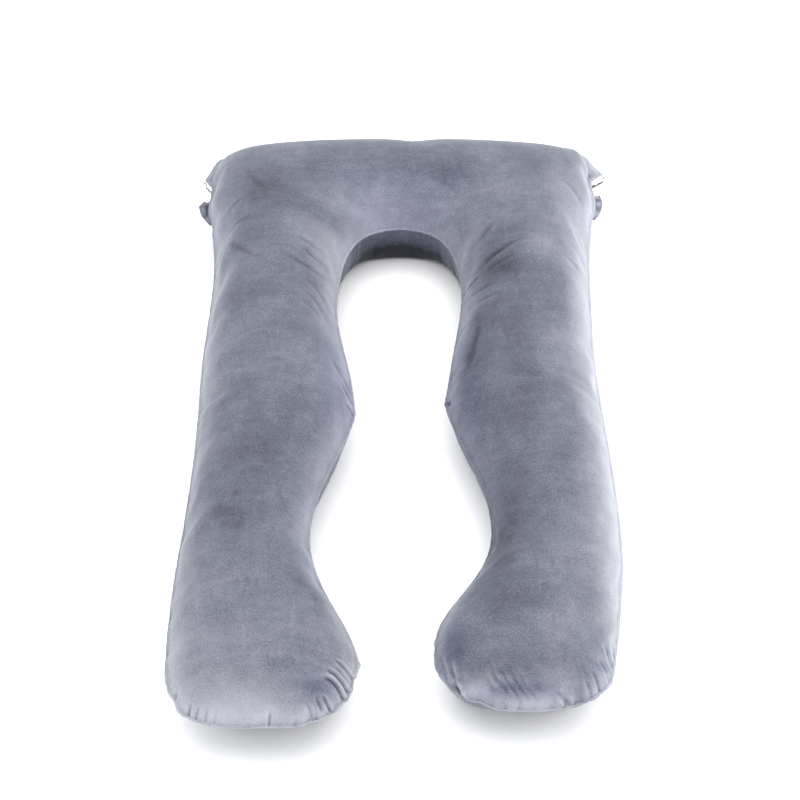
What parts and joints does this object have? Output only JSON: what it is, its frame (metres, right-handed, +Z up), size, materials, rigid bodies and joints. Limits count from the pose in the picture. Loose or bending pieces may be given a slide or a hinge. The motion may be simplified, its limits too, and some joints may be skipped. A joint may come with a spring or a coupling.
{
  "type": "pregnancy pillow",
  "caption": "U-shaped full-body cushion in a velvet cover, with a head bar, a neck arch and long supporting legs that flare into gathered ends.",
  "frame": {"origin": "on the surface that the pillow lies on, under the middle of its bounding box", "axes": "+Y from the feet towards the head bar, +X towards the right leg as seen from the feet, +Z up out of the lying pillow"},
  "size_m": [0.8479, 1.4083, 0.1995],
  "materials": {
    "velvet": "short-pile velvet, grey-blue, with paler brushed patches and rims",
    "velvet_tab": "the same velvet, in shade",
    "casing_white": "plain white woven cotton"
  },
  "bodies": {
    "root": {"cushion": "velvet", "casing_edge_left": "casing_white", "casing_edge_right": "casing_white", "side_tab_left": "velvet_tab", "side_tab_right": "velvet_tab"}
  },
  "joints": []
}
